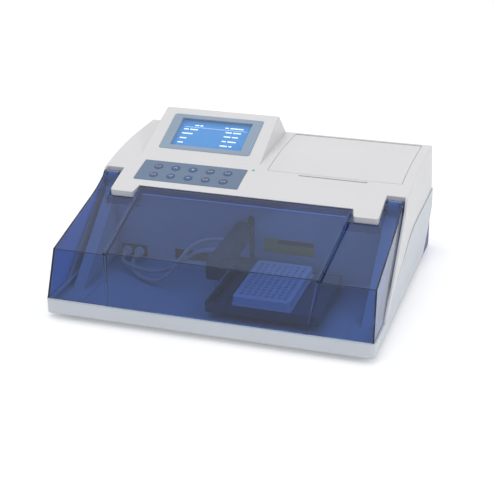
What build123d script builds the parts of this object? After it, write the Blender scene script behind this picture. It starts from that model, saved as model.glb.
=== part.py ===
import math
import os

from build123d import *

# Bench plate washer, millimetres. X runs to the right, Y to the rear and Z up. The origin lies on the
# bench at the middle of the footprint.

# Overall size. The wash chamber keeps its depth, and what lies behind and beside it spreads with the rest.
width = 479.0
depth = 418.0
chamber_depth = 187.0
deck = (depth - chamber_depth) / 231.0
spread = (width - 115.0) / 364.0

# Housing
wall = 3.0
foot_height = 8.6
skirt_height = 20.6
rim_width = 8.0
corner_radius = 9.0
part_gap = 0.4
seam_height = 98.0
seam_foot = 81.0
slope_run = 62.0 * deck
slope_rise = 56.0
top_height = 167.6
crown_radius = 573.0
cover_front = chamber_depth - 4.5
cover_front_height = 144.1
flank_lean = 5.0
lean_start = 64.5
lip_height = 9.0
tab_reach = 16.5
tab_corner = 4.0

# Lid and its hinge
lid_wall = 2.5
lid_gap = 0.5
lid_front = 4.0
lid_inset = 2.0
fold_depth = 27.1
fold_height = 97.4
crease_depth = chamber_depth - 42.5
crease_height = 126.9
ear_dip = 3.0
zone_fold_half = width / 2 - 5.1
window_half = width / 2 - 76.3
window_fold_half = window_half - 7.4
window_foot_half = window_half - 16.2
window_fold_depth = 22.2
window_fold_height = 102.7
flange_depth = 13.0
hinge_depth = chamber_depth + 23.0
hinge_height = 141.0
ear_radius = 11.0
ear_inner = width / 2 - 33.5
ear_edge = 7.5
boss_radius = 8.0
pin_radius = 3.0
running_gap = 0.05

# Wash chamber
floor_height = 20.0
liner_wall = 2.0
chamber_half = ear_inner + 1.0
cheek_width = 17.4
cheek_foot = 61.0
cove_radius = 5.0
tray_margin = 14.0
tray_recess = 0.8
slot_x = -11.5
slot_width = 201.0
slot_height = 16.7
carrier_slot_z = 35.5
lift_slot_x = 10.9
lift_slot_width = 7.8
lift_slot_top = 112.0
ear_drop = 31.0

# Paper cover, bay and printer, on the right of the upper housing
panel_margin = 20.5
panel_width = 204.4
panel_x = width / 2 - panel_margin - panel_width / 2
panel_front = chamber_depth + 68.7 * deck
panel_rear = depth - 5.0
panel_thickness = 2.5
panel_gap = 0.5
barrel_radius = 5.0
tear_slot_width = 105.0
tear_slot_length = 2.4
tear_slot_depth = panel_front - 5.9
roll_radius = 23.0
roll_width = 104.0
spindle_radius = 5.0
platen_radius = 6.0

# Display hood, on the left of the upper housing
hood_margin = 44.5
hood_gap = 16.6
hood_width = width - hood_margin - hood_gap - panel_width - panel_margin
hood_x = -width / 2 + hood_margin + hood_width / 2
hood_draft = 3.2
hood_foot = chamber_depth + 81.0 * deck
hood_run = 114.0 * deck
hood_rise = 43.1
hood_back = 32.0 * deck
hood_edge = 5.0
bezel_margin = 22.0
bezel_width = hood_width - 2 * bezel_margin
bezel_length = 87.0 * deck
bezel_depth = 1.6
bezel_corner = 4.0
bezel_run = 61.4 * deck
glass_margin = 16.75
glass_width = bezel_width - 2 * glass_margin
glass_length = 66.6 * deck

# Keypad
keypad_x = hood_x + 1.2
keypad_depth = chamber_depth + 36.2 * deck
keypad_margin = 13.75
keypad_width = hood_width - 2 * keypad_margin
keypad_length = 54.9 * deck
keypad_recess = 0.9
keypad_corner = 2.0
overlay_thickness = 0.8
key_diameter = 13.4
key_hole = 14.0
key_travel = 0.5
key_pitch_x = 0.168 * keypad_width
key_pitch_y = 23.1 * deck
stem_width = 4.4

# Status light, beside the keypad's rear corner
light_x = keypad_x + keypad_width / 2 + 8.15
light_depth = keypad_depth + keypad_length / 2 + 0.55
light_radius = 1.6

# Plate carrier and its drive
carrier_x = 73.5
carrier_width = 163.8
carrier_front = 29.1
carrier_length = 138.0
carrier_height = 14.5
carrier_lift = 9.4
carriage_travel = 99.6
rod_radius = 4.0
screw_radius = 4.0
plate_width = 85.48
plate_length = 127.76
plate_height = 14.35
plate_seat = 1.6
well_pitch = 9.0
well_radius = 3.4
well_depth = 10.9

# Manifold and its lift
needle_x = 3.8
needle_pair = 3.6
needle_radius = 0.6
needle_length = 14.0
manifold_width = 19.5
manifold_height = 28.5
manifold_clearance = 17.3
manifold_tail = 37.0
manifold_travel = 13.0

# Rear connector panel
panel_recess = 13.0
panel_sheet = 1.5
connector_half = 182.0 * spread
connector_low = 75.0
connector_high = 147.0

# Drive of the plate carrier, and the pocket, trough and channel in it
carrier_corner = 3.0
carrier_web = 2.0
carrier_rim = 3.0
carrier_rim_rise = 1.0
trough_width = 18.6
trough_length = 125.0
trough_depth = 10.9
channel_from_left = 32.4
channel_width = 8.0
channel_depth = 3.0
plate_from_left = 80.25
plate_from_front = 66.6
plate_corner = 3.0
plate_play = 0.5
plate_skirt = 2.4
well_floor = 1.3
recess_from_right = 15.3
recess_width = 20.0
recess_length = 81.0
frame_sheet = 2.0
drive_left = -126.0
drive_right = 105.0
drive_top = 60.0
rod_low = 32.0
rod_rise = 16.0
screw_z = 40.0
motor_width = 42.0
motor_length = 40.0
slider_x = 45.0
slider_width = 70.0
slider_low = 25.0
slider_high = 54.0
arm_low = 31.0
arm_height = 10.0

# Lift of the manifold
lift_x = 10.0
lift_low = 58.0
lift_top = 118.0
shelf = 3.5
shelf_width = 40.0
lift_rod = 3.0
lift_rod_spread = 10.0
lift_motor_height = 18.0
lift_block_width = 32.0
lift_block_low = 78.0
lift_block_height = 22.0
arm_thickness = 6.0
manifold_x = 0.45
needle_seat = 4.0
plug_radius = 3.0
plug_depth = 2.0

# Tubes and their fittings in the chamber
tube_radius = 3.0
wash_barb_rise = 5.05
suction_barb_rise = 12.05
barb_length = 7.7
port_height = 33.0
fitting_radius = 7.5
fitting_length = 6.0

# Rests and screws
foot_x = width / 2 - 34.5
foot_depth = 29.0
foot_radius = 10.0
rear_foot_width = 47.0
screw_spread = width / 2 - 49.5
screw_head = 2.0
screw_head_radius = 3.5
screw_shank = 1.5

# Smaller parts of the display and keypad
bezel_lip = 0.8
display_thickness = 4.0
key_columns = 5
key_rows = 2
key_rise = 0.55
board_thickness = 1.6

# Things in the rear of the housing
wash_pump_x = -175.0 * spread
vacuum_pump_x = -95.0 * spread
supply_x = 168.0 * spread
supply_width = 90.0 * spread
supply_length = 80.0 * deck
supply_height = 40.0
board_x = 62.0 * spread
board_width = 90.0 * spread
board_length = 76.0 * deck
board_post = 3.0
valve_radius = 7.0
valve_height = 16.0
board_standoff = 18.0
bay_floor = 100.0
bay_sheet = 3.0
roll_z = 128.0
platen_z = 138.0
hinge_stub = 2.0
ports_z = 88.5
inlet_x = 140.0 * spread
inlet_width = 27.0
inlet_height = 20.0
switch_x = 95.0 * spread
switch_width = 15.0
switch_height = 20.0
rocker_swing = 16.0
rocker_half = 8.6
serial_x = 30.0 * spread
serial_width = 30.0
serial_height = 12.0
hose_first = -150.0 * spread
hose_pitch = 30.0 * spread
hose_places = [hose_first + place * hose_pitch for place in range(4)]
hose_radius = 5.0
barb_radius = 3.0
barb_reach = 8.5

# Shared positions
half_w = width / 2
front_y = -depth / 2
rear_y = depth / 2
skirt_top = foot_height + skirt_height
tray_floor = foot_height + wall
cover_front_y = front_y + cover_front
crown_y = cover_front_y + math.sqrt(crown_radius**2 - (crown_radius - top_height + cover_front_height)**2)
wall_y = front_y + chamber_depth
hinge_y = front_y + hinge_depth
tab_out = ear_inner - 1.5
tab_front_y = cover_front_y - tab_reach
ear_out = half_w - ear_edge
ear_slot_y = hinge_y + ear_radius + 0.8
clear = 0.3
carrier_front_y = front_y + carrier_front
carrier_mid_y = carrier_front_y + carrier_length / 2
carrier_bottom = floor_height + carrier_lift
carrier_top = carrier_bottom + carrier_height
trough_x = needle_x
channel_x = carrier_x - carrier_width / 2 + channel_from_left
plate_x = carrier_x - carrier_width / 2 + plate_from_left
plate_y = carrier_front_y + plate_from_front
plate_bottom = carrier_top - plate_seat
plate_top = plate_bottom + plate_height
drive_x = (drive_left + drive_right) / 2

# Positions behind the chamber wall, from front to rear
bracket_y = wall_y - 1.8
lift_front_y = wall_y + 8 * deck
drive_front = wall_y + 16 * deck
slider_front = wall_y + 20 * deck
lift_screw_y = wall_y + 22 * deck
rod_y = wall_y + 30 * deck
lift_block_rear = wall_y + 38 * deck
screw_y = wall_y + 44 * deck
slider_rear = wall_y + 52 * deck
lift_back_y = wall_y + 53.5 * deck
bay_front = wall_y + 58 * deck
printer_front = wall_y + 65 * deck
drive_rear = wall_y + 70 * deck
platen_y = wall_y + 76 * deck
supply_y = wall_y + 122 * deck
pump_y = wall_y + 128 * deck
roll_y = wall_y + 142 * deck

# Places of rods, needles' bar, fittings and screws
rod_places = [(drive_x, rod_y, rod_low), (drive_x, rod_y, rod_low + rod_rise)]
manifold_low = plate_top + manifold_clearance
manifold_front_y = plate_y - 5.5 * well_pitch - 5.2
manifold_rear_y = wall_y - 4
wash_barb = (wall_y - 62, manifold_low + wash_barb_rise)
suction_barb = (wall_y - 39, manifold_low + suction_barb_rise)
wash_port = (18.3 - chamber_half, port_height)
suction_port = (38.2 - chamber_half, port_height)
screw_y_spread = depth / 2 - 109
screw_places = [(x, y) for x in (-screw_spread, 0, screw_spread) for y in (-screw_y_spread, screw_y_spread)]
along_x = (0, 90, 0)
toward_rear = (-90, 0, 0)
base_end = (Align.CENTER, Align.CENTER, Align.MIN)


def crown(y, drop=0.0):
    """Height of the upper housing's outer face at depth y, taken drop inside it."""
    if y >= crown_y:
        return top_height - drop
    radius = crown_radius - drop
    return top_height - crown_radius + math.sqrt(radius**2 - (crown_y - y)**2)


def mirrored(points):
    """Closed outline from its right half, which starts and ends near the centre line."""
    return points + [(-x, y) for x, y in reversed(points)]


def under_crown(drop, y_front, y_rear, z_low):
    """Side view of the space below the crown between two depths."""
    y_bend = min(crown_y, y_rear)
    y_mid = (y_front + y_bend) / 2
    with BuildSketch(Plane.YZ) as side:
        with BuildLine():
            ThreePointArc((y_front, crown(y_front, drop)), (y_mid, crown(y_mid, drop)),
                          (y_bend, crown(y_bend, drop)))
            if y_rear > crown_y:
                Line((y_bend, top_height - drop), (y_rear, top_height - drop))
            Polyline((y_rear, crown(y_rear, drop)), (y_rear, z_low), (y_front, z_low),
                     (y_front, crown(y_front, drop)))
        make_face()
    return side.sketch


def leaning_front(inset, y_rear):
    """Front view of the housing, whose flanks lean in above the lower flank, drawn at depth y_rear."""
    low, high, top = half_w - inset, half_w - flank_lean - inset, top_height + 50
    lean = flank_lean * (top - lean_start) / (top_height - lean_start)
    high = low - lean
    with BuildSketch(Plane.XZ.offset(-y_rear)) as front:
        with BuildLine():
            Polyline(*mirrored([(low, -5), (low, lean_start), (high, top)]), close=True)
        make_face()
    return front.sketch


def seam_points(drop):
    """Parting line on the flank, from the rear to the foot of the side arm."""
    run = depth - seam_foot
    dips = [(0.0, 0.0), (0.396, 2.5), (0.546, 8.1), (0.692, 24.0), (0.877, 42.0), (0.945, 57.4)]
    return ([(rear_y - share * run, seam_height - dip - drop) for share, dip in dips]
            + [(front_y + seam_foot, skirt_top + part_gap - drop)])


def block(x_low, x_high, y_low, y_high, z_low, z_high, mode=Mode.ADD):
    """Rectangular block between two corners, added to the part being built."""
    with Locations(((x_low + x_high) / 2, (y_low + y_high) / 2, z_low)):
        Box(x_high - x_low, y_high - y_low, z_high - z_low, align=base_end, mode=mode)


def write(builder, label):
    """Name one finished piece and write it to its own file."""
    builder.part.label = label
    export_step(builder.part, f"parts/{label}.step")


os.makedirs("parts", exist_ok=True)

# Lower housing: skirt, floor, rising flanks and a sloped lower rear edge
with BuildPart() as tray_hollow:
    with BuildSketch(Plane.YZ):
        with BuildLine():
            Polyline((front_y, seam_height + 3 * wall), (front_y, foot_height),
                     (rear_y - slope_run, foot_height),
                     (rear_y, foot_height + slope_rise), (rear_y, seam_height + 3 * wall), close=True)
        make_face()
        offset(amount=-wall)
    extrude(amount=half_w - wall, both=True)
    with BuildSketch(Plane.XY.offset(skirt_top - wall)):
        Rectangle(width, depth)
        with Locations((0, (rim_width - wall) / 2)):
            Rectangle(width - 2 * rim_width, depth - rim_width - wall, mode=Mode.SUBTRACT)
    extrude(amount=wall, mode=Mode.SUBTRACT)

with BuildPart() as base_tray:
    with BuildSketch(Plane.YZ):
        with BuildLine():
            seam = seam_points(part_gap)
            Spline(*seam)
            Polyline(seam[-1], (front_y, skirt_top), (front_y, foot_height),
                     (rear_y - slope_run, foot_height),
                     (rear_y, foot_height + slope_rise), seam[0])
        make_face()
    extrude(amount=half_w, both=True)
    fillet(base_tray.edges().filter_by(Axis.Z).group_by(Axis.Y)[0], corner_radius)
    add(tray_hollow.part, mode=Mode.SUBTRACT)
    with Locations(*[(x, y, foot_height) for x, y in screw_places]):
        Cylinder(screw_shank, 2 * wall, mode=Mode.SUBTRACT)
    with BuildSketch(Plane.XZ.offset(-rear_y - 1)):
        with Locations((0, (connector_low + connector_high) / 2)):
            Rectangle(2 * connector_half, connector_high - connector_low)
    extrude(amount=wall + 2, mode=Mode.SUBTRACT)

# Upper housing: crowned top with hinge tabs, display hood, leaning flanks and arms beside the lid
diagonal_foot = (front_y + 65.0, skirt_top + part_gap)
diagonal_top = (hinge_y - 4.4, hinge_height - 3.0)
arm_top_y = hinge_y + 7
with BuildPart() as cover_hollow:
    with BuildSketch(Plane.XY.offset(-1)):
        with Locations((0, (ear_slot_y + rear_y) / 2)):
            Rectangle(width, rear_y - ear_slot_y - 2 * wall)
        with Locations((0, (cover_front_y + ear_slot_y) / 2 + wall)):
            Rectangle(2 * (tab_out - wall), ear_slot_y - cover_front_y + 2)
        with Locations((-(window_half + tab_out) / 2, tab_front_y + wall + 10),
                       ((window_half + tab_out) / 2, tab_front_y + wall + 10)):
            Rectangle(tab_out - window_half - 4 * wall, 20)
    extrude(amount=top_height + 1)
    extrude(under_crown(wall, front_y, rear_y, -5), amount=half_w, both=True, mode=Mode.INTERSECT)
    extrude(leaning_front(wall, rear_y), amount=depth, mode=Mode.INTERSECT)


hood_foot_y = front_y + hood_foot
hood_top = (hood_foot_y + hood_run, crown(hood_foot_y) + hood_rise)
hood_angle = math.atan2(hood_rise, hood_run)


def hood_body(inset, z_low):
    """Wedge of the display hood, or the hollow inset into it, down to z_low."""
    back_y = hood_top[0] + hood_back
    with BuildPart() as wedge:
        with BuildSketch(Plane.YZ.offset(hood_x)) as side:
            with BuildLine():
                Polyline((hood_foot_y, z_low), (hood_foot_y, crown(hood_foot_y)), hood_top,
                         (back_y, top_height),
                         (back_y, z_low), close=True)
            make_face()
            fillet(side.vertices().sort_by(Axis.X)[2], hood_edge)
            if inset:
                offset(amount=-inset)
        extrude(amount=hood_width / 2, both=True)
        low, high = hood_width / 2 - inset, hood_width / 2 - hood_draft - inset
        with BuildSketch(Plane.XZ.offset(-rear_y)):
            with BuildLine():
                outline = mirrored([(low, z_low - depth), (low, crown(hood_foot_y)), (high, hood_top[1])])
                Polyline(*[(hood_x + x, z) for x, z in outline], close=True)
            make_face()
        extrude(amount=depth, mode=Mode.INTERSECT)
    return wedge.part


def facing(x, y, z, angle):
    """Plane on a face that rises to the rear at an angle in radians, with its normal up and forward."""
    return Plane(origin=(x, y, z), x_dir=(1, 0, 0), z_dir=(0, -math.sin(angle), math.cos(angle)))


def crown_plane(x, y):
    """Plane tangent to the crown at one place."""
    return facing(x, y, crown(y), math.asin((crown_y - y) / crown_radius))


display_plane = facing(hood_x, hood_foot_y + bezel_run * math.cos(hood_angle),
                       crown(hood_foot_y) + bezel_run * math.sin(hood_angle), hood_angle)
keypad_plane = crown_plane(keypad_x, front_y + keypad_depth)
light_plane = crown_plane(light_x, front_y + light_depth)
panel_front_y = front_y + panel_front
panel_rear_y = front_y + panel_rear
barrel_y = panel_rear_y - barrel_radius
barrel_z = top_height - barrel_radius
slot_y = front_y + tear_slot_depth
connector_z = (connector_low + connector_high) / 2

with BuildPart() as top_cover:
    with BuildSketch(Plane.YZ):
        with BuildLine():
            seam = seam_points(0)
            Spline(*seam)
            Polyline(seam[-1], diagonal_foot, diagonal_top, (arm_top_y, crown(arm_top_y)),
                     (arm_top_y, top_height + 5), (rear_y, top_height + 5), seam[0])
        make_face()
    extrude(amount=half_w, both=True)
    extrude(leaning_front(wall, rear_y - wall), amount=depth, mode=Mode.SUBTRACT)
    with BuildSketch(Plane.XY.offset(seam_height)) as outline:
        with BuildLine():
            Polyline(*mirrored([(window_half + 1, cover_front_y), (window_half + 5, tab_front_y),
                                (tab_out, tab_front_y), (tab_out, ear_slot_y), (ear_out, ear_slot_y),
                                (ear_out, arm_top_y), (half_w, arm_top_y), (half_w, rear_y)]), close=True)
        make_face()
        fillet(outline.vertices().group_by(Axis.Y)[0], tab_corner)
    extrude(amount=top_height)
    add(cover_hollow.part, mode=Mode.SUBTRACT)
    extrude(under_crown(lip_height, front_y, ear_slot_y - 0.1, 0), amount=ear_out, both=True,
            mode=Mode.SUBTRACT)
    extrude(under_crown(0, front_y, rear_y, -5), amount=half_w, both=True, mode=Mode.INTERSECT)
    extrude(leaning_front(0, rear_y), amount=depth, mode=Mode.INTERSECT)
    add(hood_body(0, crown(hood_foot_y) - wall / 3))
    add(hood_body(wall, top_height - 8 * wall), mode=Mode.SUBTRACT)
    with BuildSketch(display_plane):
        RectangleRounded(bezel_width, bezel_length, bezel_corner)
    extrude(amount=-bezel_depth, mode=Mode.SUBTRACT)
    with BuildSketch(display_plane):
        Rectangle(glass_width + 8, glass_length + 8)
    extrude(amount=-2 * wall, mode=Mode.SUBTRACT)
    with BuildSketch(keypad_plane.offset(-keypad_recess)):
        RectangleRounded(keypad_width, keypad_length, keypad_corner)
    extrude(amount=2 * keypad_recess, mode=Mode.SUBTRACT)
    with BuildSketch(keypad_plane):
        with GridLocations(key_pitch_x, key_pitch_y, key_columns, key_rows):
            Rectangle(stem_width + 2 * part_gap, stem_width + 2 * part_gap)
    extrude(amount=-2 * wall, mode=Mode.SUBTRACT)
    with BuildSketch(light_plane):
        Circle(light_radius + running_gap)
    extrude(amount=2 * wall, both=True, mode=Mode.SUBTRACT)
    with BuildSketch(Plane.XY.offset(top_height - 4 * wall)):
        with Locations((panel_x, (panel_front_y + panel_rear_y) / 2)):
            Rectangle(panel_width + 2 * panel_gap, panel_rear_y - panel_front_y + 2 * panel_gap)
        with Locations((panel_x, slot_y)):
            SlotOverall(tear_slot_width, tear_slot_length)
    extrude(amount=5 * wall, mode=Mode.SUBTRACT)
    with BuildSketch(Plane.XZ.offset(-rear_y - 1)):
        with Locations((0, connector_z)):
            Rectangle(2 * connector_half, connector_high - connector_low)
    extrude(amount=wall + 2, mode=Mode.SUBTRACT)

# Wash chamber: drip tray, slotted rear wall and the two cheeks that carry the lid
cheek_out = chamber_half + cheek_width
liner_half = half_w - wall - clear
liner_front_y = front_y + wall + clear
liner_rear_y = wall_y + liner_wall
boss_in = ear_inner + lid_wall + 1
with BuildPart() as chamber_liner:
    with BuildSketch(Plane.XY.offset(tray_floor)):
        with Locations((0, (liner_front_y + liner_rear_y) / 2)):
            Rectangle(2 * liner_half, liner_rear_y - liner_front_y)
    extrude(amount=skirt_top - wall - clear - tray_floor)
    for level, height in ((floor_height, skirt_top), (floor_height - liner_wall, -skirt_top)):
        with BuildSketch(Plane.XY.offset(level)):
            with Locations((0, (liner_front_y + liner_rear_y) / 2)):
                Rectangle(2 * (liner_half - liner_wall), liner_rear_y - liner_front_y - 2 * liner_wall)
        extrude(amount=height, mode=Mode.SUBTRACT)
    with BuildSketch(Plane.XZ.offset(-liner_rear_y)):
        with Locations((0, floor_height)):
            Rectangle(2 * cheek_out, hinge_height - ear_drop - floor_height, align=(Align.CENTER, Align.MIN))
            Rectangle(2 * (ear_inner - 1), crown(wall_y) - lip_height - wall - floor_height,
                      align=(Align.CENTER, Align.MIN))
    extrude(amount=liner_wall)
    corner = chamber_liner.edges().filter_by(Axis.X).filter_by_position(Axis.Y, wall_y - 0.1, wall_y + 0.1)
    fillet(corner.filter_by_position(Axis.Z, floor_height - 0.1, floor_height + 0.1), cove_radius)
    with BuildSketch(Plane.XY.offset(floor_height)):
        with Locations((0, front_y + (rim_width + chamber_depth) / 2)):
            RectangleRounded(2 * (chamber_half - tray_margin), chamber_depth - rim_width - 2 * tray_margin,
                             cove_radius)
    extrude(amount=-tray_recess, mode=Mode.SUBTRACT)
    with BuildSketch(Plane.XZ.offset(-wall_y - wall)):
        with Locations((slot_x, carrier_slot_z)):
            RectangleRounded(slot_width, slot_height, 2)
        with Locations((lift_slot_x, (carrier_slot_z + lift_slot_top) / 2)):
            SlotOverall(lift_slot_top - carrier_slot_z, lift_slot_width, rotation=90)
    extrude(amount=4 * wall, mode=Mode.SUBTRACT)
    for side in (-1, 1):
        with BuildSketch(Plane.YZ.offset(side * chamber_half)):
            with BuildLine():
                Polyline((front_y + cheek_foot, floor_height), (hinge_y - 33, hinge_height - 29),
                         (hinge_y - 13, hinge_height - 12), (hinge_y + ear_radius, hinge_height - 12),
                         (hinge_y + ear_radius, hinge_height - 40), (liner_rear_y, hinge_height - 60),
                         (liner_rear_y, floor_height), close=True)
            make_face()
        extrude(amount=side * cheek_width)
        with BuildSketch(Plane.YZ.offset(side * boss_in)):
            with Locations((hinge_y, hinge_height)):
                Circle(boss_radius)
            with Locations((hinge_y, hinge_height - 7)):
                Rectangle(10, 14)
            with Locations((hinge_y, hinge_height)):
                Circle(pin_radius, mode=Mode.SUBTRACT)
        extrude(amount=side * (cheek_out - boss_in))

# Lid: raised window between two side zones, with hinge ears behind them
lid_half = half_w - lid_inset
lid_z = skirt_top + lid_gap
lid_fold = (front_y + fold_depth, fold_height)
lid_crease = (front_y + crease_depth, crease_height)
lid_rear_y = tab_front_y - 3
window_rear = (cover_front_y - 1, crown(cover_front_y))
ear_half = ear_out - lid_gap


def below(foot, reach):
    """The foot of the front wall, with the point that pushes the open lower edge down by reach."""
    return [(foot[0], foot[1] - reach), foot] if reach else [foot]


def lid_side(inset, reach):
    """Side view of the lid's side zones; reach pushes the open lower edges outwards."""
    dip = ((lid_crease[0] + hinge_y) / 2, (lid_crease[1] + hinge_height + ear_radius) / 2 - ear_dip)
    with BuildSketch(Plane.YZ) as zone:
        with BuildLine():
            ear_top = (hinge_y, hinge_height + ear_radius)
            foot = (front_y + lid_front, lid_z)
            Polyline((hinge_y, hinge_height), (diagonal_top[0] + reach - lid_gap, diagonal_top[1] - reach),
                     (diagonal_foot[0] + reach - lid_gap, lid_z - reach), *below(foot, reach), lid_fold,
                     lid_crease)
            ThreePointArc(lid_crease, dip, ear_top)
            Line(ear_top, (hinge_y, hinge_height))
        make_face()
        if inset:
            offset(amount=-inset)
    return zone.sketch


def lid_front_view(inset):
    """Front view of the lid, whose sides lean in upwards."""
    with BuildSketch(Plane.XZ.offset(-rear_y)) as front:
        with BuildLine():
            Polyline(*mirrored([(lid_half - inset, 0), (lid_half - inset, lid_z),
                                (zone_fold_half - inset, fold_height),
                                (ear_half - inset, hinge_height), (ear_half - inset, top_height)]),
                                close=True)
        make_face()
    return front.sketch


def window_body(inset, reach):
    """Raised window zone of the lid, or the hollow inset into it, open below by reach."""
    with BuildPart() as window:
        with BuildSketch(Plane.YZ):
            with BuildLine():
                foot = (front_y + lid_front - 0.8, lid_z)
                Polyline((foot[0] + 8, lid_z - reach), *below(foot, reach),
                         (front_y + window_fold_depth, window_fold_height), window_rear,
                         (window_rear[0], window_rear[1] - flange_depth - reach), close=True)
            make_face()
            if inset:
                offset(amount=-inset)
        extrude(amount=half_w, both=True)
        with BuildSketch(Plane.XZ.offset(-rear_y)):
            with BuildLine():
                Polyline(*mirrored([(window_foot_half - inset, -50), (window_foot_half - inset, lid_z),
                                    (window_fold_half - inset, window_fold_height),
                                    (window_half - inset, window_rear[1]),
                                    (window_half - inset, top_height)]), close=True)
            make_face()
        extrude(amount=depth, mode=Mode.INTERSECT)
    return window.part


def between(x_low, x_high, y_low, y_high):
    """Tall block over one rectangle of the plan and its mirror image."""
    with BuildPart() as block:
        for side in (-1, 1):
            with BuildSketch(Plane.XY.offset(-50)):
                with Locations((side * (x_low + x_high) / 2, (y_low + y_high) / 2)):
                    Rectangle(x_high - x_low, y_high - y_low)
            extrude(amount=top_height + 60)
    return block.part


with BuildPart() as lid_hollow:
    extrude(lid_side(lid_wall, 20), amount=half_w, both=True)
    extrude(lid_front_view(lid_wall), amount=depth, mode=Mode.INTERSECT)
    add(between(0, ear_inner + lid_wall, lid_rear_y - lid_wall, rear_y), mode=Mode.SUBTRACT)

ear_hollow = ear_half - ear_inner - 2 * lid_wall
with BuildPart() as lid:
    extrude(lid_side(0, 0), amount=half_w, both=True)
    with Locations((0, hinge_y, hinge_height)):
        Cylinder(ear_radius, 2 * ear_half, rotation=along_x)
    extrude(lid_front_view(0), amount=depth, mode=Mode.INTERSECT)
    add(between(0, ear_inner, lid_rear_y, rear_y), mode=Mode.SUBTRACT)
    add(window_body(0, 0))
    add(lid_hollow.part, mode=Mode.SUBTRACT)
    add(window_body(lid_wall, 40), mode=Mode.SUBTRACT)
    extrude(lid_side(flange_depth, 40), amount=zone_fold_half - 2 * lid_wall, both=True, mode=Mode.SUBTRACT)
    for side in (-1, 1):
        ear_x = side * (ear_inner + ear_half) / 2
        with Locations((ear_x, hinge_y, hinge_height)):
            Cylinder(ear_radius - lid_wall, ear_hollow, rotation=along_x, mode=Mode.SUBTRACT)
        block(ear_x - ear_hollow / 2, ear_x + ear_hollow / 2, hinge_y - 1.2 * ear_radius,
              hinge_y + 1.2 * ear_radius,
              hinge_height - 2 * ear_radius, hinge_height, mode=Mode.SUBTRACT)
        block(ear_x - ear_hollow / 2, ear_x + ear_hollow / 2, hinge_y, hinge_y + 1.2 * ear_radius,
              hinge_height - 2 * ear_radius, hinge_height + ear_radius / 2, mode=Mode.SUBTRACT)
    for side in (-1, 1):
        with Locations((side * (ear_inner + ear_half) / 2, hinge_y, hinge_height)):
            Cylinder(pin_radius + running_gap, ear_half - ear_inner + 4, rotation=along_x, mode=Mode.SUBTRACT)

# Rests under the housing, and the screws that close it from below
with BuildPart() as front_feet:
    with BuildSketch(Plane.XY):
        with Locations((-foot_x, front_y + foot_depth), (foot_x, front_y + foot_depth)):
            Circle(foot_radius)
    extrude(amount=foot_height)
    chamfer(front_feet.edges().group_by(Axis.Z)[0], 1)

with BuildPart() as rear_feet:
    for side in (-1, 1):
        with BuildSketch(Plane.YZ.offset(side * (half_w - 2.5))):
            with BuildLine():
                slope_y = rear_y - slope_run
                Polyline((slope_y + 1, 0), (rear_y - 3, 0), (rear_y - 0.5, 4),
                         (rear_y - 0.5, foot_height + slope_rise * (slope_run - 0.5) / slope_run),
                         (slope_y, foot_height), close=True)
            make_face()
        extrude(amount=-side * rear_foot_width)

with BuildPart() as housing_screws:
    with BuildSketch(Plane.XY.offset(foot_height - screw_head)):
        with Locations(*screw_places):
            RegularPolygon(screw_head_radius, 6)
    extrude(amount=screw_head)
    with Locations(*[(x, y, foot_height) for x, y in screw_places]):
        Cylinder(screw_shank, wall, align=base_end)

# Display: frame, window and the glass panel behind it
with BuildPart() as display_bezel:
    with BuildSketch(display_plane.offset(-bezel_depth)):
        RectangleRounded(bezel_width - part_gap, bezel_length - part_gap, bezel_corner)
        Rectangle(glass_width + 2 * part_gap, glass_length + 2 * part_gap, mode=Mode.SUBTRACT)
    extrude(amount=bezel_depth + bezel_lip)
    chamfer(display_bezel.faces().sort_by(Axis.Z)[-1].outer_wire().edges(), bezel_lip)

with BuildPart() as display_window:
    with BuildSketch(display_plane.offset(-2 * wall)):
        Rectangle(glass_width, glass_length)
    extrude(amount=2 * wall - 0.6)

with BuildPart() as display_panel:
    with BuildSketch(display_plane.offset(-2 * wall - display_thickness)):
        Rectangle(glass_width + 6, glass_length + 6)
    extrude(amount=display_thickness)

# Keypad: overlay with ten round keys, over a board that stops them
with BuildPart() as keypad_overlay:
    with BuildSketch(keypad_plane.offset(-keypad_recess)):
        RectangleRounded(keypad_width - part_gap, keypad_length - part_gap, keypad_corner)
        with GridLocations(key_pitch_x, key_pitch_y, key_columns, key_rows):
            Circle(key_hole / 2, mode=Mode.SUBTRACT)
    extrude(amount=overlay_thickness)

key_gap = 0.05
board_drop = wall + keypad_recess + key_travel
with BuildPart() as keypad_board:
    with BuildSketch(keypad_plane.offset(-board_drop - board_thickness)):
        Rectangle(keypad_width - 4, keypad_length - 6)
    extrude(amount=board_thickness)

keys = []
for row in range(key_rows):
    for column in range(key_columns):
        across = (column - (key_columns - 1) / 2) * key_pitch_x
        up = (row - (key_rows - 1) / 2) * key_pitch_y
        with BuildPart() as key:
            with BuildSketch(keypad_plane.offset(-keypad_recess + key_travel + key_gap)):
                with Locations((across, up)):
                    Circle(key_diameter / 2)
            extrude(amount=key_rise + overlay_thickness - key_travel)
            chamfer(key.edges().sort_by(Axis.Z)[-1], 0.3)
            with BuildSketch(keypad_plane.offset(-board_drop + key_travel + key_gap)):
                with Locations((across, up)):
                    Rectangle(stem_width, stem_width)
            extrude(amount=board_drop - keypad_recess)
        keys.append((key, f"key_{row + 1}_{column + 1}"))

with BuildPart() as status_light:
    with BuildSketch(light_plane.offset(-wall - 2)):
        Circle(light_radius)
    extrude(amount=wall + 2.6)
    with BuildSketch(light_plane.offset(-wall - 2)):
        Circle(light_radius + 1)
    extrude(amount=1.6)

# Hinge pins of the lid, fixed in the cheek bosses
with BuildPart() as lid_pins:
    for side in (-1, 1):
        with Locations((side * (ear_inner + ear_half) / 2, hinge_y, hinge_height)):
            Cylinder(pin_radius, ear_half - ear_inner - 1, rotation=along_x)

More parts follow.
